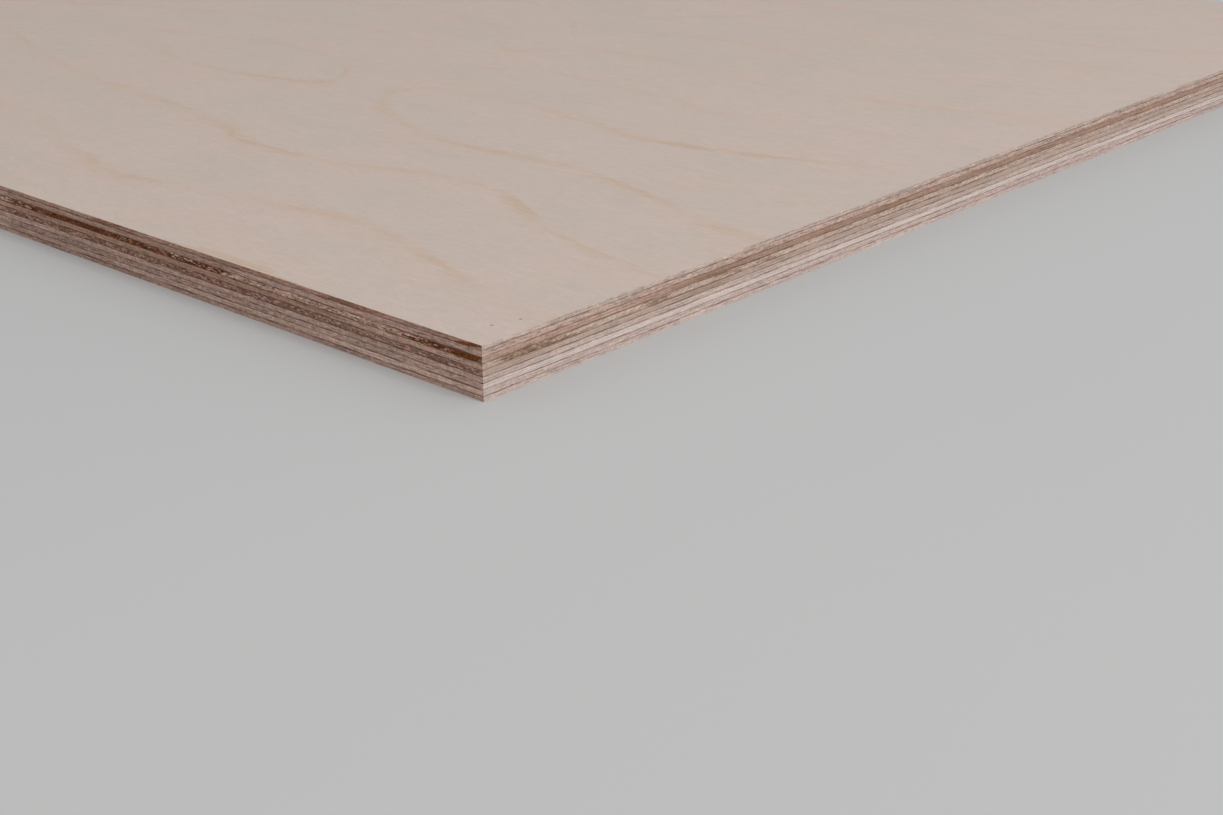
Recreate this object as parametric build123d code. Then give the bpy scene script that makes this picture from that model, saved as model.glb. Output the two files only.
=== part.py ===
from build123d import *
import os

# A panel of nine-ply birch plywood, 15 mm nominal, lying on its back.
# Millimetres, +Z up. The origin is the middle of the underside.
# X runs along the grain of the face veneer and Y across it.

# Outline of the panel after it is sawn to size.
SHEET_LENGTH = 1000.0
SHEET_WIDTH = 500.0

# Rotary-cut veneers. The two outer ones lose about 0.4 mm when the pressed sheet is sanded.
FACE_VENEER_THICKNESS = 1.3
BACK_VENEER_THICKNESS = 1.3
CROSSBAND_THICKNESS = 1.65
LONG_PLY_THICKNESS = 1.65

# Crossbands lie next to both outer veneers, so there is always one more of them than of the
# long-grain plies between them. This keeps the lay-up balanced about its middle.
CROSSBAND_COUNT = 4

PARTS_FOLDER = "parts"


def lay_up():
    """Name and thickness of each ply from the face veneer, which is ply 1, down to the back."""
    plies = [("face_veneer", FACE_VENEER_THICKNESS)]
    for pair in range(CROSSBAND_COUNT):
        number = 2 + 2 * pair
        plies.append((f"crossband_ply_{number}", CROSSBAND_THICKNESS))
        if pair < CROSSBAND_COUNT - 1:
            plies.append((f"long_grain_ply_{number + 1}", LONG_PLY_THICKNESS))
    plies.append(("back_veneer", BACK_VENEER_THICKNESS))
    return plies


def veneer(underside, thickness):
    """One veneer of the panel's full outline, square-sawn, lying at the height underside."""
    with BuildPart() as ply:
        with BuildSketch(Plane.XY.offset(underside)):
            Rectangle(SHEET_LENGTH, SHEET_WIDTH)
        extrude(amount=thickness)
    return ply.part


def press_sheet():
    """All plies by name, stacked from the back veneer up, each glued face to face to the next."""
    sheet = {}
    underside = 0.0
    for name, thickness in reversed(lay_up()):
        sheet[name] = veneer(underside, thickness)
        underside += thickness
    return sheet


os.makedirs(PARTS_FOLDER, exist_ok=True)
for name, ply in press_sheet().items():
    ply.label = name
    export_step(ply, f"{PARTS_FOLDER}/{name}.step")
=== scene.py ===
import math
from typing import NamedTuple

import bpy
import numpy as np
from mathutils import Matrix, Vector


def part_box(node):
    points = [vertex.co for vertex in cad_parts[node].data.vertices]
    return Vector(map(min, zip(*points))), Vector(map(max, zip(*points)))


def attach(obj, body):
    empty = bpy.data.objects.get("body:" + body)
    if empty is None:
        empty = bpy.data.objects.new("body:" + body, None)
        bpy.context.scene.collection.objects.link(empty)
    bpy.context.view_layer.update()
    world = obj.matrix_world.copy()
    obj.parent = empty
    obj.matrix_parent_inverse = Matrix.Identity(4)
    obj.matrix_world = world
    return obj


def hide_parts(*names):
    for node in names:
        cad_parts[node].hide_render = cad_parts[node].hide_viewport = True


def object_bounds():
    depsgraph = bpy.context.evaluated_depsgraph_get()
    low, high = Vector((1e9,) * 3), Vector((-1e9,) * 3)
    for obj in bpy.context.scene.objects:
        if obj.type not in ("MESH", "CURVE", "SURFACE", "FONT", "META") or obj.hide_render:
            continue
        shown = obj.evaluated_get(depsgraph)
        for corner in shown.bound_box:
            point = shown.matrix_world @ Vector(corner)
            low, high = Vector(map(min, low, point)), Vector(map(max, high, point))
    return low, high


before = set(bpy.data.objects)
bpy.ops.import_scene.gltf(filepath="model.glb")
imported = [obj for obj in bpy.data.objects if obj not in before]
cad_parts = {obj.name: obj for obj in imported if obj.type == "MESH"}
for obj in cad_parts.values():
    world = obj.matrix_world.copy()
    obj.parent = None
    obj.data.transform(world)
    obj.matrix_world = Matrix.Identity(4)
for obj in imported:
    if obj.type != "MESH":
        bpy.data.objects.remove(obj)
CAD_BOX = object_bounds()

# Camera
# It looks down on the sheet's near corner. A long edge of the sheet runs off to the left, along -X,
# and an end of it runs off to the right, along +Y. The corner's place in the picture is given.
PICTURE_SIZE = Vector((1223, 815))
FOCAL_LENGTH_PIXELS = 1898
SENSOR_WIDTH_MM = 36
NEAREST_SEEN = 0.01
NEAR_CORNER_PIXEL = Vector((481.7, 346.0))
NEAR_CORNER_DEPTH = 0.4409
CAMERA_TURN = math.radians(42.65)
CAMERA_PITCH = math.radians(22.60)
CAMERA_ROLL = math.radians(-0.66)

near_corner = Vector((CAD_BOX[1].x, CAD_BOX[0].y, CAD_BOX[1].z))
turned = Matrix.Rotation(CAMERA_TURN, 3, "Z")
pitched = Matrix.Rotation(math.pi / 2 - CAMERA_PITCH, 3, "X")
rolled = Matrix.Rotation(CAMERA_ROLL, 3, "Z")
camera_facing = turned @ pitched @ rolled
corner_offset = (NEAR_CORNER_PIXEL - PICTURE_SIZE / 2) / FOCAL_LENGTH_PIXELS
corner_seen_from_camera = Vector((corner_offset.x, -corner_offset.y, -1)) * NEAR_CORNER_DEPTH

camera_data = bpy.data.cameras.new("camera")
camera_data.sensor_width = SENSOR_WIDTH_MM
camera_data.lens = SENSOR_WIDTH_MM * FOCAL_LENGTH_PIXELS / PICTURE_SIZE.x
camera_data.clip_start = NEAREST_SEEN
camera_data.dof.use_dof = False
camera = bpy.data.objects.new("camera", camera_data)
camera.rotation_euler = camera_facing.to_euler()
camera.location = near_corner - camera_facing @ corner_seen_from_camera
bpy.context.scene.collection.objects.link(camera)
bpy.context.scene.camera = camera


# Long-grain core plies
# Three birch veneers peeled from the log, their grain along the sheet, glued between crossbands. The
# panel saw cuts them along the grain at the long edges, where fibres tear and dark heartwood shows,
# and through the grain at the ends.
COLUMN_WIDTH = 0.0006
ARRIS_HEIGHT = 0.0001
RIM_BANDS = 5
COLUMNS_IN_END_CAP = 20
GLUED_ARRIS = 1.0
FREE_ARRIS = 0.25


class MapPlace(NamedTuple):
    """A rectangle of the square map, named OFBake, for a ply's colours."""

    left: float
    foot: float
    width: float
    height: float

    def spread(self, across, up):
        """Places on the map, from the shares across and up this rectangle."""
        return np.stack((self.left + self.width * across, self.foot + self.height * up), -1)


FREE_FACE_PLACE = MapPlace(0.0, 0.5, 1.0, 0.5)
GLUED_FACE_PLACES = {"bottom": MapPlace(0.0, 0.0, 0.12, 0.06), "top": MapPlace(0.13, 0.0, 0.12, 0.06)}
RIM_PLACE = MapPlace(0.002, 0.07, 0.996, 0.925)
RIM_ROWS = 40
RIM_PLACE_UNDER_FREE_FACE = MapPlace(0.002, 0.07, 0.996, 0.42)
RIM_ROWS_UNDER_FREE_FACE = 27
ROW_MARGIN = 0.05


class Blank:
    """One ply before it is sawn: a slab that fills its box, with a rim of narrow columns.

    Its grain runs along "X" or "Y". A free_side, "top" or "bottom", is a side that isn't glued."""

    def __init__(self, node, grain, free_side):
        self.node = node
        self.grain = grain
        self.free_side = free_side
        self.low, self.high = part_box(node)
        self.along_x = round((self.high.x - self.low.x) / COLUMN_WIDTH)
        self.along_y = round((self.high.y - self.low.y) / COLUMN_WIDTH)
        self.count = 2 * (self.along_x + self.along_y)
        bands = np.linspace(self.low.z + ARRIS_HEIGHT, self.high.z - ARRIS_HEIGHT, RIM_BANDS + 1)
        self.heights = np.concatenate(([self.low.z], bands, [self.high.z]))

    def points(self):
        """A ring of points at each height, counter-clockwise from the front left corner."""
        low, high = self.low, self.high
        x = np.linspace(low.x, high.x, self.along_x + 1)
        y = np.linspace(low.y, high.y, self.along_y + 1)
        front = [(place, low.y) for place in x[:-1]]
        right = [(high.x, place) for place in y[:-1]]
        back = [(place, high.y) for place in x[:0:-1]]
        left = [(low.x, place) for place in y[:0:-1]]
        ring = np.array(front + right + back + left)
        rings = [np.column_stack((ring, np.full(self.count, height))) for height in self.heights]
        return np.concatenate(rings)

    def rim(self):
        """Four-sided faces between each ring of points and the ring above it."""
        index = np.arange(self.count)
        following = (index + 1) % self.count
        faces = []
        for ring in range(len(self.heights) - 1):
            under, over = ring * self.count, (ring + 1) * self.count
            corners = (under + index, under + following, over + following, over + index)
            faces += np.column_stack(corners).tolist()
        return faces

    def cap(self, ring):
        """Faces that close the slab at one ring of points, seen from above.

        Strips run across the sheet, and a many-sided face at each end takes in that end's points."""
        back_left = 2 * self.along_x + self.along_y
        strips = range(COLUMNS_IN_END_CAP, self.along_x - COLUMNS_IN_END_CAP)
        faces = [(point, point + 1, back_left - point - 1, back_left - point) for point in strips]
        right_end = range(strips.stop, back_left - strips.stop + 1)
        left_end = range(back_left - strips.start, self.count + strips.start + 1)
        faces += [tuple(right_end), tuple(point % self.count for point in left_end)]
        return [tuple(ring * self.count + point for point in face) for face in faces]

    def map_places(self, cap_points):
        """Where each corner of each face lies on the map for the ply's colours, named OFBake.

        The rim is 3 m long and under 2 mm high, so it is folded into rows. A glued face gets a small
        corner of the map, and a free one gets half of it."""
        place, rows = RIM_PLACE, RIM_ROWS
        if self.free_side:
            place, rows = RIM_PLACE_UNDER_FREE_FACE, RIM_ROWS_UNDER_FREE_FACE
        per_row = math.ceil(self.count / rows)
        row, column = np.divmod(np.arange(self.count), per_row)
        across = np.stack((column, column + 1, column + 1, column), 1) / per_row
        level = (self.heights - self.low.z) / (self.high.z - self.low.z)
        up = np.stack((level[:-1], level[:-1], level[1:], level[1:]), 1)[:, None, :]
        up = (row[None, :, None] + ROW_MARGIN + (1 - 2 * ROW_MARGIN) * up) / rows
        rim = place.spread(np.broadcast_to(across, up.shape), up).reshape(-1, 2)

        caps = []
        for side, corners in zip(("bottom", "top"), np.split(cap_points, 2), strict=True):
            place = FREE_FACE_PLACE if side == self.free_side else GLUED_FACE_PLACES[side]
            across = (corners[:, 0] - self.low.x) / (self.high.x - self.low.x)
            across = 1 - across if side == "bottom" else across
            up = (corners[:, 1] - self.low.y) / (self.high.y - self.low.y)
            caps.append(place.spread(across, up))
        return np.concatenate((rim, *caps))

    def mark(self, mesh, points, rim_count):
        """Adds attributes that tell the rim's nodes and its finish where each place lies.

        outward points away from the sheet, with_grain is 1 where the rim runs along the grain, arris
        says how deep the upper and the lower edge are broken, and on_end and on_rim mark faces."""
        outward = np.zeros((len(points), 3))
        for axis in range(2):
            outward[:, axis] += np.isclose(points[:, axis], self.high[axis])
            outward[:, axis] -= np.isclose(points[:, axis], self.low[axis])
        across_grain = 1 if self.grain == "X" else 0
        arris = np.zeros((len(self.heights), self.count))
        arris[0] = FREE_ARRIS if self.free_side == "bottom" else GLUED_ARRIS
        arris[-1] = FREE_ARRIS if self.free_side == "top" else GLUED_ARRIS
        at_end = np.arange(self.count) % (self.along_x + self.along_y) >= self.along_x
        face_count = len(mesh.polygons)
        on_end = np.zeros(face_count)
        on_end[:rim_count] = np.tile(at_end, len(self.heights) - 1)
        on_rim = np.arange(face_count) < rim_count
        for name, kind, domain, field, values in (
            ("outward", "FLOAT_VECTOR", "POINT", "vector", outward),
            ("with_grain", "FLOAT", "POINT", "value", np.abs(outward[:, across_grain])),
            ("arris", "FLOAT", "POINT", "value", arris),
            ("on_end", "FLOAT", "FACE", "value", on_end),
            ("on_rim", "BOOLEAN", "FACE", "value", on_rim),
        ):
            mesh.attributes.new(name, kind, domain).data.foreach_set(field, values.ravel())

    def mesh(self):
        """The closed slab, with its map and its marks."""
        points = self.points()
        rim = self.rim()
        caps = [face[::-1] for face in self.cap(0)] + self.cap(len(self.heights) - 1)
        mesh = bpy.data.meshes.new(self.node)
        mesh.from_pydata(points.tolist(), [], rim + caps)
        places = self.map_places(points[np.concatenate(caps)])
        mesh.uv_layers.new(name="OFBake").uv.foreach_set("vector", places.ravel())
        self.mark(mesh, points, len(rim))
        return mesh


MM = 1000


def fill_sockets(node, values):
    """Fills a node's inputs, by name or by number. A Field is linked, and any other value is set."""
    for name, value in values.items():
        if isinstance(value, Field):
            value.tree.links.new(value.socket, node.inputs[name])
        else:
            node.inputs[name].default_value = value


class Field:
    """A socket of a node tree. Operators on it add the Math nodes of the expression they stand in."""

    def __init__(self, tree, socket=None):
        self.tree = tree
        self.socket = socket

    def node(self, kind, settings, values, output=0):
        """Adds a node with its settings, a ramp's stops among them, and then its sockets' values."""
        node = self.tree.nodes.new(kind)
        for name, value in settings.items():
            if name == "stops":
                elements = node.color_ramp.elements
                elements.remove(elements[1])
                elements[0].position, elements[0].color = value[0]
                for position, colour in value[1:]:
                    elements.new(position).color = colour
            else:
                setattr(node, name, value)
        fill_sockets(node, values)
        return Field(self.tree, node.outputs[output])

    def math(self, operation, *values):
        return self.node("ShaderNodeMath", {"operation": operation}, dict(enumerate(values)))

    def __add__(self, other):
        return self.math("ADD", self, other)

    def __radd__(self, other):
        return self.math("ADD", other, self)

    def __sub__(self, other):
        return self.math("SUBTRACT", self, other)

    def __rsub__(self, other):
        return self.math("SUBTRACT", other, self)

    def __mul__(self, other):
        return self.math("MULTIPLY", self, other)

    def __rmul__(self, other):
        return self.math("MULTIPLY", other, self)

    def __truediv__(self, other):
        return self.math("DIVIDE", self, other)

    def __rtruediv__(self, other):
        return self.math("DIVIDE", other, self)

    def __pow__(self, other):
        return self.math("POWER", self, other)

    def __neg__(self):
        return 0 - self

    def __abs__(self):
        return self.math("ABSOLUTE", self)

    def lesser(self, other):
        return self.math("MINIMUM", self, other)

    def greater(self, other):
        return self.math("MAXIMUM", self, other)

    def fraction(self):
        return self.math("FRACT", self)

    def exponential(self):
        return self.math("EXPONENT", self)

    def smooth(self, low, high):
        """0 up to low, 1 from high on, and a smooth rise between them."""
        values = {"Value": self, "From Min": low, "From Max": high}
        return self.node("ShaderNodeMapRange", {"interpolation_type": "SMOOTHSTEP"}, values)

    def axis(self, name):
        """This vector's part along X, Y or Z."""
        return self.node("ShaderNodeSeparateXYZ", {}, {"Vector": self}, output=name)

    def stretched(self, size):
        """This vector divided by size along X, Y and Z."""
        scale = tuple(1 / length for length in size)
        return self.node("ShaderNodeVectorMath", {"operation": "MULTIPLY"}, {0: self, 1: scale})

    def in_mm(self):
        """This vector of metres in millimetres."""
        return self.stretched((1 / MM, 1 / MM, 1 / MM))

    def noise(self, size, seed, detail=1.0):
        """Noise from 0 to 1 over this place, whose blotches are about size mm along X, Y and Z."""
        values = {"Vector": self.stretched(size), "W": seed, "Scale": 1.0, "Detail": detail}
        return self.node("ShaderNodeTexNoise", {"noise_dimensions": "4D"}, values)


CUT_DEPTHS_MM = {"Fibre depth": 0.10, "Comb depth": 0.05, "Tear depth": 0.16, "Groove depth": 0.12}


def sawn_rim_tree():
    """Geometry nodes that press torn fibres, the saw's comb and the glue lines' grooves into a rim."""
    tree = bpy.data.node_groups.new("sawn_rim", "GeometryNodeTree")
    sockets = [("Geometry", "NodeSocketGeometry")]
    sockets += [(name, "NodeSocketFloat") for name in (*CUT_DEPTHS_MM, "Seed")]
    sockets += [(name, "NodeSocketMaterial") for name in ("Sawn finish", "Flat finish")]
    for name, kind in sockets:
        tree.interface.new_socket(name, in_out="INPUT", socket_type=kind)
    tree.interface.new_socket("Geometry", in_out="OUTPUT", socket_type="NodeSocketGeometry")
    group_input = tree.nodes.new("NodeGroupInput")
    given = {name: Field(tree, group_input.outputs[name]) for name, _ in sockets}
    seed = given["Seed"]
    start = Field(tree)

    def attribute(name, kind="FLOAT"):
        return start.node("GeometryNodeInputNamedAttribute", {"data_type": kind}, {"Name": name})

    place = start.node("GeometryNodeInputPosition", {}, {}).in_mm()
    with_grain = attribute("with_grain")
    fibres = place.noise((9, 9, 0.35), seed + 1, detail=2.0)
    comb = place.noise((1.6, 1.6, 5), seed + 2)
    torn = place.noise((7, 7, 0.7), seed + 3, detail=3.0).smooth(0.58, 0.72)
    broken = place.noise((5, 5, 2), seed + 4).smooth(0.35, 0.6)
    along = with_grain * (fibres * given["Fibre depth"] + torn * given["Tear depth"])
    across = (1 - with_grain) * comb * given["Comb depth"]
    groove = attribute("arris") * (0.3 + 0.7 * broken) * given["Groove depth"]
    inward = -(along + across + groove) / MM
    values = {0: attribute("outward", "FLOAT_VECTOR"), "Scale": inward}
    shift = start.node("ShaderNodeVectorMath", {"operation": "SCALE"}, values)

    values = {"Geometry": given["Geometry"], "Offset": shift}
    moved = start.node("GeometryNodeSetPosition", {}, values)
    whole = start.node("GeometryNodeRealizeInstances", {}, {"Geometry": moved})
    values = {"Geometry": whole, "Material": given["Sawn finish"]}
    sawn = start.node("GeometryNodeSetMaterial", {}, values)
    on_rim = attribute("on_rim", "BOOLEAN")
    flat = start.node("FunctionNodeBooleanMath", {"operation": "NOT"}, {0: on_rim})
    values = {"Geometry": sawn, "Selection": flat, "Material": given["Flat finish"]}
    dressed = start.node("GeometryNodeSetMaterial", {}, values)
    result = tree.nodes.new("NodeGroupOutput")
    fill_sockets(result, {"Geometry": dressed})
    return tree


SAWN_RIM = sawn_rim_tree()
SHARP_ANGLE = math.radians(50)


def new_finish(name):
    """An empty material, and the place on its object in mm, which every pattern on it starts from."""
    material = bpy.data.materials.new(name)
    material.use_nodes = True
    place = Field(material.node_tree).node("ShaderNodeTexCoord", {}, {}, output="Object")
    return material, place.in_mm()


def fill_shader(material, values):
    """Fills the sockets of the material's own shader."""
    fill_sockets(material.node_tree.nodes["Principled BSDF"], values)


def paint(red, green, blue):
    """A colour written in the 0 to 255 of a picture, as the linear colour that a node takes."""
    parts = [value / 255 for value in (red, green, blue)]
    linear = [part / 12.92 if part <= 0.04045 else ((part + 0.055) / 1.055) ** 2.4 for part in parts]
    return (*linear, 1.0)


# A Mix node has one set of sockets for each kind of data. These are the colour ones.
MIX_FACTOR, MIX_FIRST, MIX_SECOND, MIX_RESULT = 0, 6, 7, 2


def blend(factor, first, second):
    """The colour first where factor is 0 and second where it is 1."""
    values = {MIX_FACTOR: factor, MIX_FIRST: first, MIX_SECOND: second}
    return factor.node("ShaderNodeMix", {"data_type": "RGBA"}, values, output=MIX_RESULT)


def shade(colour, amount):
    """The colour made darker or lighter: amount 1 leaves it as it is."""
    parts = {"Red": amount, "Green": amount, "Blue": amount}
    grey = amount.node("ShaderNodeCombineColor", {}, parts)
    settings = {"data_type": "RGBA", "blend_type": "MULTIPLY"}
    values = {MIX_FACTOR: 1.0, MIX_FIRST: colour, MIX_SECOND: grey}
    return amount.node("ShaderNodeMix", settings, values, output=MIX_RESULT)


class Edge(NamedTuple):
    """The look of one ply at one sawn edge of the sheet. Places are in mm from the near corner."""

    pale: tuple  # the colour of sound wood
    dark: tuple  # the colour of stained wood
    grit: float  # how strongly the grain shows
    stains: tuple = ()  # the place where each stain begins, and its strength from there on
    speckle: float = 0.0  # how many pits, darkened with painted shade, and pale chips there are
    slant: float = 0.0  # how many mm the stains' ends lean for each mm up the ply
    wild: float = 0.3  # the strength of the stains past the placed ones


# Lengths in mm. Stains are placed up to one reach along the long edge and another along the end.
PLACED_REACHES = (215, 380)
PLACED_FADE = 15
STAIN_RAMP_LENGTH = 400
STAIN_SOFTNESS = 0.8
STAIN_RAGGEDNESS = 28
LATE_WOOD_SPACING = 0.75
BROWN_GLUE = paint(100, 76, 64)
RED_GLUE = paint(138, 88, 70)


def placed_stain(distance, stains):
    """How stained an edge is at this distance from the near corner. A ramp holds 16 stains at most."""
    if not stains:
        return 0 * distance
    stops = []
    before = 0.0
    for start, strength in stains:
        stops += [(max(start - STAIN_SOFTNESS, 0.0), before), (start + STAIN_SOFTNESS, strength)]
        before = strength
    greys = [(place / STAIN_RAMP_LENGTH, (value, value, value, 1)) for place, value in stops]
    return distance.node("ShaderNodeValToRGB", {"stops": greys}, {"Fac": distance / STAIN_RAMP_LENGTH})


def growth_lines(place, height, seed):
    """The late wood of the year rings, which lie in a peeled veneer as long low waves."""
    waves = 4.5 * place.noise((110, 110, 8), seed, detail=2.0)
    turn = (height / LATE_WOOD_SPACING + waves).fraction()
    strength = place.noise((30, 30, 1.5), seed + 0.01).smooth(0.35, 0.65)
    return strength * turn.smooth(0.50, 0.92) * (1 - turn.smooth(0.92, 1.0))


def cut_with_grain(place, height, edge, stain, seed):
    """Colour of an edge sawn along the grain: long streaks, torn mottling, pale chips, and painted
    shade in tiny pits.
    """
    drift = place.noise((26, 26, 0.8), seed + 0.1)
    streaks = place.noise((7, 7, 0.18), seed + 0.2, detail=3.0)
    mottle = place.noise((1.3, 1.3, 0.42), seed + 0.3, detail=3.0)
    # Small pits where fibres tore out. Their shade is painted into the colour as dark spots.
    painted_pit_shade = place.noise((0.7, 0.7, 0.38), seed + 0.4).smooth(0.54, 0.65)
    chips = place.noise((1.3, 1.3, 0.42), seed + 0.42, detail=2.0).smooth(0.48, 0.60)
    chipped = chips * (2.4 * (1.25 - stain)).smooth(0, 1)
    burnt = stain.smooth(1.1, 1.4)
    rough = (edge.speckle * (1 + stain)).lesser(1.0)
    soaked = stain * (0.2 + 1.9 * mottle) * (1 - (0.35 + edge.speckle) * chipped)
    colour = blend(soaked.lesser(1.0), edge.pale, edge.dark)
    grit = edge.grit * (0.9 * (streaks - 0.5) + (0.8 + 1.3 * rough) * (mottle - 0.5))
    light = 1.02 + 0.35 * (drift - 0.5) + grit - 0.20 * growth_lines(place, height, seed + 0.45)
    # The pits are darkened with painted shade, more so in stained wood.
    return shade(colour, light * (1.05 - 0.68 * rough * painted_pit_shade) * (1 - 0.3 * burnt))


def cut_across_grain(place, height, edge, stain, seed):
    """Colour of an edge sawn through the grain: finer, with the saw's upright comb and knife checks."""
    drift = place.noise((24, 24, 1.0), seed + 0.5)
    lines = place.noise((14, 14, 0.2), seed + 0.55, detail=2.0)
    comb = place.noise((0.5, 0.5, 2), seed + 0.6)
    grain = place.noise((2.4, 2.4, 0.28), seed + 0.7, detail=4.0)
    checks = place.noise((0.4, 0.4, 1.6), seed + 0.75).smooth(0.60, 0.74)
    colour = blend(stain * (0.5 + 1.0 * grain), edge.pale, edge.dark)
    grit = 0.36 * (comb - 0.5) + 0.60 * (lines - 0.5) + 0.95 * (grain - 0.5) - 0.10 * checks
    light = 1.02 + 0.28 * (drift - 0.5) + edge.grit * grit
    return shade(colour, light - 0.24 * growth_lines(place, height, seed + 0.78))


def edge_colour(node, grain, edges, place, seed):
    """Colour of a ply's bare wood all round its rim, and a mask of the rim's two ends.

    The two edges that meet at the near corner have placed stains. Elsewhere stains come and go by
    noise."""
    low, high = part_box(node)
    x, y, z = (place.axis(name) for name in "XYZ")
    height = z - (low.z + high.z) / 2 * MM
    ragged = STAIN_RAGGEDNESS * (place.noise((9, 9, 0.22), seed + 0.8, detail=3.0) - 0.5)
    wild = place.noise((38, 38, 2.5), seed + 0.9, detail=2.0).smooth(0.56, 0.66)
    cuts = (cut_with_grain, cut_across_grain) if grain == "X" else (cut_across_grain, cut_with_grain)
    distances = (high.x * MM - x, y - low.y * MM)
    nears = (1 - y.smooth(-1, 1), x.smooth(-1, 1))  # 0 on the two edges that lie away from the corner
    colours = []
    sides = zip(edges, cuts, distances, nears, PLACED_REACHES, strict=True)
    for edge, cut, distance, near, reach in sides:
        ends = distance + ragged * distance.smooth(2, 22) + edge.slant * height
        known = near * (1 - distance.smooth(reach - PLACED_FADE, reach))
        stain = known * placed_stain(ends, edge.stains) + (1 - known) * edge.wild * wild
        colours.append(cut(place, height, edge, stain, seed))
    on_end = place.node("ShaderNodeAttribute", {"attribute_name": "on_end"}, {}, output="Fac")
    return blend(on_end, *colours), on_end


def glue_line(place, height):
    """A phenolic glue line at this height in mm. It wanders, swells and breaks off along the edge.

    Its seed comes from its height, so the plies above and below it show the same line."""
    seed = 40 + 3.7 * height
    along_edge = place.stretched((1, 1, 1e6))
    wander = 0.30 * (along_edge.noise((5, 5, 1), seed, detail=3.0) - 0.5)
    dashes = along_edge.noise((6, 6, 1), seed + 1.9, detail=4.0).smooth(0.36, 0.62)
    present = along_edge.noise((34, 34, 1), seed + 2.5, detail=1.0).smooth(0.30, 0.56)
    off = abs(place.axis("Z") - height + wander)
    thick, faint = 0.02 + 0.07 * dashes, 0.10 + 0.12 * dashes
    line = (1 - off.smooth(thick, faint)) * (0.35 + 0.65 * dashes) * (0.45 + 0.55 * present)
    soaked_in = 0.16 * (1 - off.smooth(0.05, 0.5))
    return line + soaked_in


def sawn_finish(node, grain, edges, seed, free_side):
    """Bare sawn wood for one ply's rim, with its share of the glue line on each side it is glued on."""
    material, place = new_finish(f"sawn_{node}")
    wood, on_end = edge_colour(node, grain, edges, place, seed)
    glue = 0 * on_end
    for side, corner in zip(("bottom", "top"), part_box(node), strict=True):
        if side != free_side:
            glue = glue.greater(glue_line(place, corner.z * MM))
    reddish = place.noise((9, 9, 9), 31.0, detail=1.0).smooth(0.42, 0.62)
    glue_colour = blend(reddish, BROWN_GLUE, RED_GLUE)
    colour = blend(glue * (1 - 0.42 * on_end), wood, glue_colour)

    fibres = place.noise((5, 5, 0.18), seed + 1.3)
    comb = place.noise((0.4, 0.4, 3), seed + 1.4)
    grit = place.noise((0.5, 0.5, 0.3), seed + 1.5)
    values = {"Strength": 0.6, "Distance": 0.12 / MM, "Height": fibres + comb + grit - glue}
    bump = place.node("ShaderNodeBump", {}, values)
    values = {"Base Color": colour, "Roughness": 0.8, "Specular IOR Level": 0.15, "Normal": bump}
    fill_shader(material, values)
    return material


def glued_finish():
    """The faces of a core ply, which the hot press coated with brown phenolic glue."""
    material, place = new_finish("glued_face")
    colour = blend(place.noise((60, 60, 60), 5.0), paint(128, 90, 72), paint(146, 108, 88))
    fill_shader(material, {"Base Color": colour, "Roughness": 0.6})
    return material


def sawn_ply(node, grain, edges, seed, flat_finish, free_side=None):
    """One ply, sawn at its rim and dressed, as a plain mesh that stands for the CAD node."""
    name = f"sawn_{node}"
    finish = sawn_finish(node, grain, edges, seed, free_side)
    given = {**CUT_DEPTHS_MM, "Seed": float(seed), "Sawn finish": finish, "Flat finish": flat_finish}
    piece = bpy.data.objects.new(name, Blank(node, grain, free_side).mesh())
    bpy.context.scene.collection.objects.link(piece)
    modifier = piece.modifiers.new("sawn_rim", "NODES")
    modifier.node_group = SAWN_RIM
    for item in SAWN_RIM.interface.items_tree:
        if item.in_out == "INPUT" and item.name in given:
            modifier[item.identifier] = given[item.name]
    graph = bpy.context.evaluated_depsgraph_get()
    mesh = bpy.data.meshes.new_from_object(piece.evaluated_get(graph), depsgraph=graph)
    piece.modifiers.clear()
    mesh.name = name
    on_rim = np.zeros(len(mesh.polygons), dtype=bool)
    mesh.attributes["on_rim"].data.foreach_get("value", on_rim)
    mesh.set_sharp_from_angle(angle=SHARP_ANGLE)
    mesh.polygons.foreach_set("use_smooth", on_rim)
    piece.data = mesh
    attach(piece, "root")
    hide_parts(node)
    return piece


GLUED_FACE = glued_finish()
LONG_GRAIN_SEEDS = (30, 40, 50)
# Each ply has the look of its long edge, and then that of its end.
LONG_GRAIN_PLIES = {
    "long_grain_ply_3": (
        Edge(
            paint(185, 154, 137), paint(108, 58, 24), grit=1.9, speckle=0.6, slant=1.0, wild=0.9,
            stains=(
                (0, 1.15), (10.5, 0.9), (18, 1.0), (24.5, 0.1), (98, 0.97), (110, 0.93), (126, 1.04),
                (131, 0.97), (136, 1.12), (141, 0.98), (146, 1.05), (156, 1.35), (166, 1.1),
                (181, 1.06), (192, 0.97), (203, 0.6),
            ),
        ),
        Edge(
            paint(182, 152, 136), paint(151, 121, 102), grit=1.6, speckle=0.1, wild=0.5,
            stains=((66, 0.5), (76, 0.9), (98, 0.6), (160, 0.8), (175, 0.5), (380, 0)),
        ),
    ),
    "long_grain_ply_5": (
        Edge(
            paint(163, 130, 118), paint(128, 92, 76), grit=1.5, speckle=0.5, slant=1.0, wild=0.6,
            stains=((0, 0.55), (16, 0.45), (58, 0.65), (110, 0.75), (210, 0)),
        ),
        Edge(
            paint(185, 162, 149), paint(164, 138, 120), grit=1.0, wild=0.4,
            stains=((72, 0.6), (90, 0)),
        ),
    ),
    "long_grain_ply_7": (
        Edge(
            paint(180, 152, 140), paint(140, 110, 98), grit=1.7, speckle=0.3, slant=1.0, wild=0.5,
            stains=((72, 0.3), (100, 0.4), (150, 0.5), (205, 0)),
        ),
        Edge(paint(214, 198, 190), paint(180, 160, 148), grit=0.8, wild=0.2),
    ),
}

for seed, (node, edges) in zip(LONG_GRAIN_SEEDS, LONG_GRAIN_PLIES.items(), strict=True):
    ply = sawn_ply(node, "X", edges, seed, GLUED_FACE)


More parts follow.
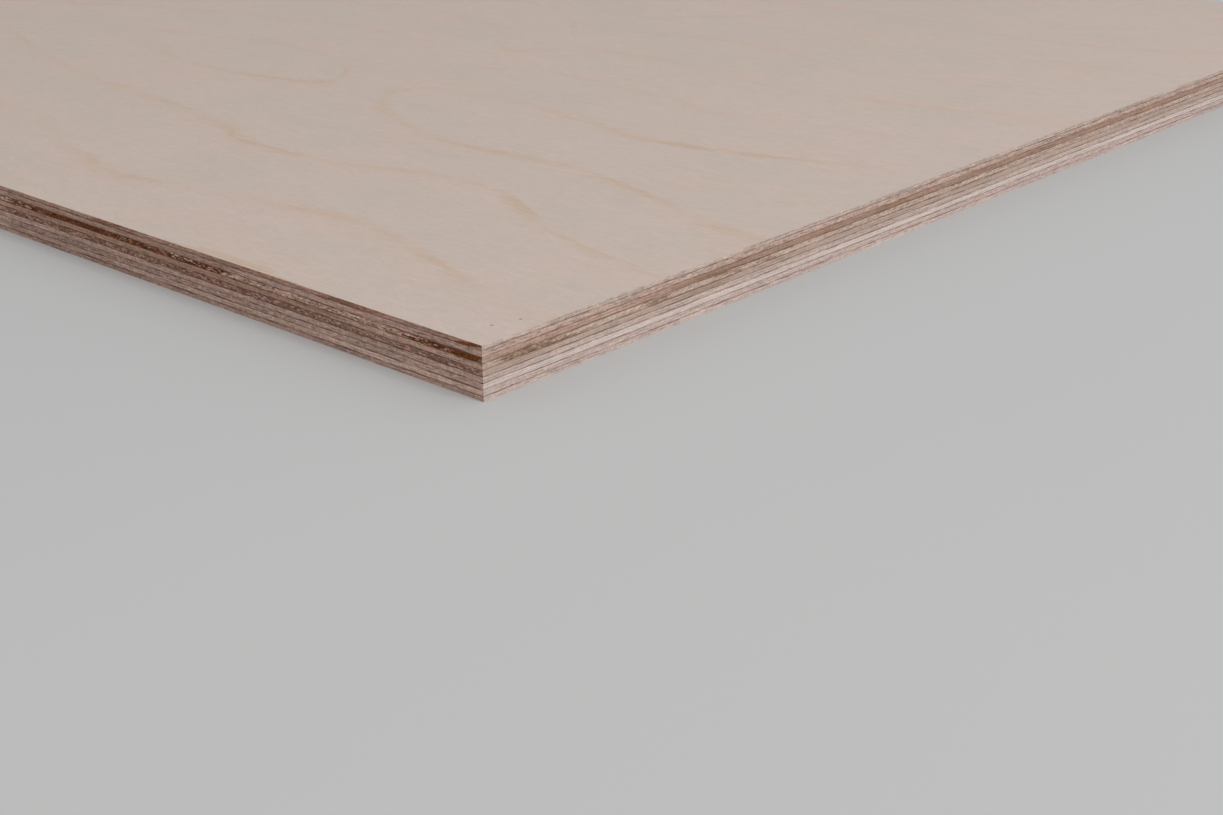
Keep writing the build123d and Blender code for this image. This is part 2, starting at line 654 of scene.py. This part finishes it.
# Crossbands
# Four birch veneers with their grain across the sheet, which keep it from warping. The long edges
# cut through their grain and leave it smooth and pale, and the ends cut along it.
CROSSBAND_SEEDS = (70, 80, 90, 100)
CROSSBANDS = {
    "crossband_ply_2": (
        Edge(paint(182, 151, 139), paint(160, 127, 112), grit=2.2, stains=((95, 0.7), (210, 0))),
        Edge(paint(188, 162, 149), paint(150, 116, 100), grit=1.6, speckle=0.25, wild=0.4),
    ),
    "crossband_ply_4": (
        Edge(paint(182, 150, 134), paint(160, 126, 108), grit=2.2, stains=((50, 0.8), (210, 0))),
        Edge(
            paint(188, 165, 151), paint(140, 112, 91), grit=1.6, speckle=0.2, slant=4.0, wild=0.5,
            stains=(
                (6, 0.9), (28, 0.4), (35, 0), (59, 0.7), (69, 0), (88, 0.65), (95, 0), (104, 0.65),
                (110, 0),
            ),
        ),
    ),
    "crossband_ply_6": (
        Edge(paint(181, 151, 138), paint(165, 136, 122), grit=2.2, stains=((28, 0.5), (50, 0))),
        Edge(paint(194, 174, 164), paint(160, 138, 124), grit=0.9, speckle=0.2, slant=2.0),
    ),
    "crossband_ply_8": (
        Edge(
            paint(197, 169, 155), paint(164, 136, 122), grit=2.2,
            stains=((50, 0.4), (150, 0.8), (210, 0)),
        ),
        Edge(paint(197, 176, 168), paint(150, 122, 112), grit=0.9, speckle=0.25, slant=2.0),
    ),
}

for seed, (node, edges) in zip(CROSSBAND_SEEDS, CROSSBANDS.items(), strict=True):
    ply = sawn_ply(node, "Y", edges, seed, GLUED_FACE)


# Outer veneers
# The face and the back are the best birch veneers, sanded smooth after pressing. They are peeled
# round the log, so the knife runs in and out of the year rings and draws them as long closed waves.
PALE_WOOD = paint(195, 178, 168)
WARM_PATCH = paint(196, 176, 165)
COOL_PATCH = paint(191, 177, 166)
LATE_WOOD = paint(190, 166, 144)
BROWN_SPECK = paint(120, 92, 76)
SPECK_CORE_MM = 0.2
SPECK_RADIUS_MM = 0.55

# The log's heart runs along the sheet under a ridge. A hill of the ridge is its centre and width in
# mm from the near corner, and the rings that it rises. A minus makes it a hollow.
HILLS = ((0, 75, 0.75), (145, 48, 0.36), (226, 20, -0.32), (300, 50, 0.34), (700, 120, 1.5))
# A dent beside the ridge is its centre and width along the sheet, its centre and width across it,
# and the rings that it sinks.
DENTS = ((137, 49, 47, 29, 0.06), (112, 34, 88, 20, 0.32), (212, 46, 24, 22, 0.22))
RIDGE_FLATNESS = 0.12
FAR_SLOPE_WIDTH = 42


def bump_at(value, centre, width):
    """A smooth hump of height 1 at centre, about width to each side."""
    spread = (value - centre) / width
    return (-(spread * spread)).exponential()


def step_at(value, centre, width):
    """A smooth step from 0 to 1 at centre."""
    return 1 / (1 + ((centre - value) / width).exponential())


def year_rings(along, across):
    """Which ring the knife is in, at mm from the near corner along the sheet and across it."""
    height = 3.05 - 1.2 * step_at(along, 435, 28)
    for centre, width, rise in HILLS:
        height = height + rise * bump_at(along, centre, width)
    for centre_along, width_along, centre_across, width_across, depth in DENTS:
        dent = bump_at(along, centre_along, width_along)
        dent = dent * bump_at(across, centre_across, width_across)
        height = height - depth * dent
    ridge = 146 + 17 * step_at(along, 170, 14) - 12 * bump_at(along, 231, 15)
    off_ridge = across - ridge
    near_slope_width = 41 + 24 * bump_at(along, 212, 42)
    slope_width = near_slope_width + (FAR_SLOPE_WIDTH - near_slope_width) * off_ridge.smooth(-4, 4)
    slope = off_ridge / slope_width
    fall = (slope * slope + RIDGE_FLATNESS**2) ** 0.5 - RIDGE_FLATNESS
    return height - fall


def ring_fade(along, across):
    """How strong the ring lines are. They fade further along, and in three places nearer the corner."""
    fade = 1 - 0.45 * along.smooth(230, 330)
    fade = fade - 0.8 * bump_at(along, 262, 50) * (1 - across.smooth(60, 90))
    fade = fade - 0.55 * bump_at(along, 0, 24) * across.smooth(40, 56)
    return fade - 0.65 * (1 - along.smooth(260, 380)) * across.smooth(178, 196)


def speckled(colour, along, across, specks):
    """The colour with small brown specks, each at its mm along and across the sheet."""
    for speck_along, speck_across in specks:
        off_along, off_across = along - speck_along, across - speck_across
        off = (off_along * off_along + off_across * off_across) ** 0.5
        colour = blend(0.8 * (1 - off.smooth(SPECK_CORE_MM, SPECK_RADIUS_MM)), colour, BROWN_SPECK)
    return colour


def sanded_finish(node, seed, figure_shift, specks):
    """Sanded birch: the year rings' late wood as soft yellowish lines, fine fibres and tiny specks.

    The figure_shift moves the figure along the veneer, in mm."""
    material, place = new_finish(f"sanded_{node}")
    low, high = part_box(node)
    along = high.x * MM - place.axis("X") + figure_shift
    across = place.axis("Y") - low.y * MM
    # Far from the near corner the rings wander more, each way.
    beyond = along.smooth(400, 560).greater(across.smooth(260, 380))
    wander = place.noise((170, 75, 75), seed + 0.1, detail=1.0) - 0.5
    wobble = place.noise((40, 13, 13), seed + 0.2, detail=2.0) - 0.5
    jags = place.noise((9, 0.8, 0.8), seed + 0.25, detail=2.0) - 0.5
    ring = year_rings(along, across) + 1.6 * beyond * wander + 0.20 * wobble + 0.24 * jags
    turn = ring.fraction()
    presence = place.noise((50, 20, 20), seed + 0.3, detail=2.0).smooth(0.36, 0.66)
    strength = ring_fade(along, across) * presence
    late = turn.smooth(0.83, 0.965) * (1 - turn.smooth(0.965, 1.0))
    halo = turn.smooth(0.55, 0.98) * (1 - turn.smooth(0.98, 1.0))

    patches = place.noise((46, 26, 26), seed + 0.4, detail=1.0)
    colour = blend(patches.smooth(0.35, 0.65), COOL_PATCH, PALE_WOOD)
    warm = place.noise((34, 18, 18), seed + 0.5, detail=1.0).smooth(0.5, 0.72)
    colour = blend(0.7 * warm + 0.35 * halo, colour, WARM_PATCH)
    colour = blend(late * (0.10 + 0.90 * strength) * (0.9 + 1.2 * jags), colour, LATE_WOOD)
    fibres = place.noise((26, 0.6, 0.6), seed + 0.6, detail=2.0)
    weave = place.noise((7, 2.2, 2.2), seed + 0.65, detail=2.0)
    pores = place.noise((2.4, 0.5, 0.5), seed + 0.7)
    colour = shade(colour, 1 + 0.08 * (fibres - 0.5) + 0.11 * (weave - 0.5) + 0.20 * (pores - 0.5))
    dust = place.noise((1.3, 0.9, 0.9), seed + 0.8).smooth(0.76, 0.82)
    colour = speckled(blend(0.45 * dust, colour, BROWN_SPECK), along, across, specks)

    sheen = 0.62 + 0.10 * (fibres - 0.5)
    values = {"Strength": 0.35, "Distance": 0.03 / MM, "Height": pores + fibres}
    bump = place.node("ShaderNodeBump", {}, values)
    values = {"Base Color": colour, "Roughness": sheen, "Specular IOR Level": 0.3, "Normal": bump}
    fill_shader(material, values)
    return material


class OuterVeneer(NamedTuple):
    """One of the two veneers that have a sanded side."""

    free_side: str
    edges: tuple  # the look of the long edge, and then that of the end
    figure_shift: float  # how many mm the rings' figure is moved along the veneer
    specks: tuple  # the mm along and across the sheet, from the near corner, of each larger speck


OUTER_SEEDS = (120, 130)
OUTER_VENEERS = {
    "face_veneer": OuterVeneer(
        free_side="top",
        edges=(
            Edge(
                paint(163, 130, 115), paint(124, 72, 36), grit=1.8, speckle=0.2, slant=6.0, wild=0.6,
                stains=(
                    (0, 1.05), (8, 0.1), (20, 0), (35, 0.45), (57, 0), (75, 0.25), (100, 0), (138, 0.5),
                    (160, 0),
                ),
            ),
            Edge(paint(194, 173, 162), paint(160, 132, 118), grit=1.7),
        ),
        figure_shift=0,
        specks=((8.3, 11.3), (6.1, 18.9)),
    ),
    "back_veneer": OuterVeneer(
        free_side="bottom",
        edges=(
            Edge(
                paint(172, 142, 130), paint(142, 113, 101), grit=1.7, speckle=0.2, slant=2.0, wild=0.5,
                stains=((120, 0.4), (200, 0)),
            ),
            Edge(paint(200, 180, 171), paint(160, 134, 122), grit=1.4),
        ),
        figure_shift=480,
        specks=(),
    ),
}

for seed, (node, veneer) in zip(OUTER_SEEDS, OUTER_VENEERS.items(), strict=True):
    sanded = sanded_finish(node, seed + 5, veneer.figure_shift, veneer.specks)
    ply = sawn_ply(node, "X", veneer.edges, seed, sanded, veneer.free_side)


# Floor
# A plain matt pale grey surface, on which the sheet lies flat.
FLOOR_SIZE = 8.0

floor_finish, floor_place = new_finish("floor_finish")
clouds = floor_place.noise((350, 350, 350), 3.0)
floor_colour = blend(clouds, paint(184, 185, 185), paint(189, 189, 188))
fill_shader(floor_finish, {"Base Color": floor_colour, "Roughness": 0.9})

half, level = FLOOR_SIZE / 2, CAD_BOX[0].z
floor_corners = [(-half, -half, level), (half, -half, level), (half, half, level), (-half, half, level)]
floor_mesh = bpy.data.meshes.new("floor")
floor_mesh.from_pydata(floor_corners, [], [(0, 1, 2, 3)])
floor_mesh.materials.append(floor_finish)
floor = bpy.data.objects.new("floor", floor_mesh)
bpy.context.scene.collection.objects.link(floor)


# Light
# A white room gives even light from all round. A large soft lamp to the right lights the end more
# than the long edge.
ROOM_BRIGHTNESS = 0.60
BACKDROP_BRIGHTNESS = 0.62
LAMP_DIRECTION = Vector((0.66, 0.0, 0.75)).normalized()
LAMP_DISTANCE = 2.2
LAMP_SIZE = 1.4
LAMP_SHARE = 0.56

world = bpy.data.worlds.new("room")
bpy.context.scene.world = world
world.use_nodes = True
ray_kinds = ("Is Camera Ray", "Is Glossy Ray", "Is Transmission Ray")
start = Field(world.node_tree)
seen, mirrored, through = (start.node("ShaderNodeLightPath", {}, {}, output=kind) for kind in ray_kinds)
as_backdrop = seen.greater(mirrored).greater(through)
brightness = ROOM_BRIGHTNESS + (BACKDROP_BRIGHTNESS - ROOM_BRIGHTNESS) * as_backdrop
fill_sockets(world.node_tree.nodes["Background"], {"Color": (1, 1, 1, 1), "Strength": brightness})

# At this power a white surface that faces the lamp shows LAMP_SHARE of full white from it.
lamp_data = bpy.data.lights.new("soft_lamp", "AREA")
lamp_data.shape = "SQUARE"
lamp_data.size = LAMP_SIZE
lamp_data.energy = LAMP_SHARE * (math.pi * LAMP_DISTANCE) ** 2
lamp = bpy.data.objects.new("soft_lamp", lamp_data)
lamp.location = near_corner + LAMP_DIRECTION * LAMP_DISTANCE
lamp.rotation_euler = LAMP_DIRECTION.to_track_quat("Z", "Y").to_euler()
bpy.context.scene.collection.objects.link(lamp)

bpy.context.scene.view_settings.view_transform = "Standard"
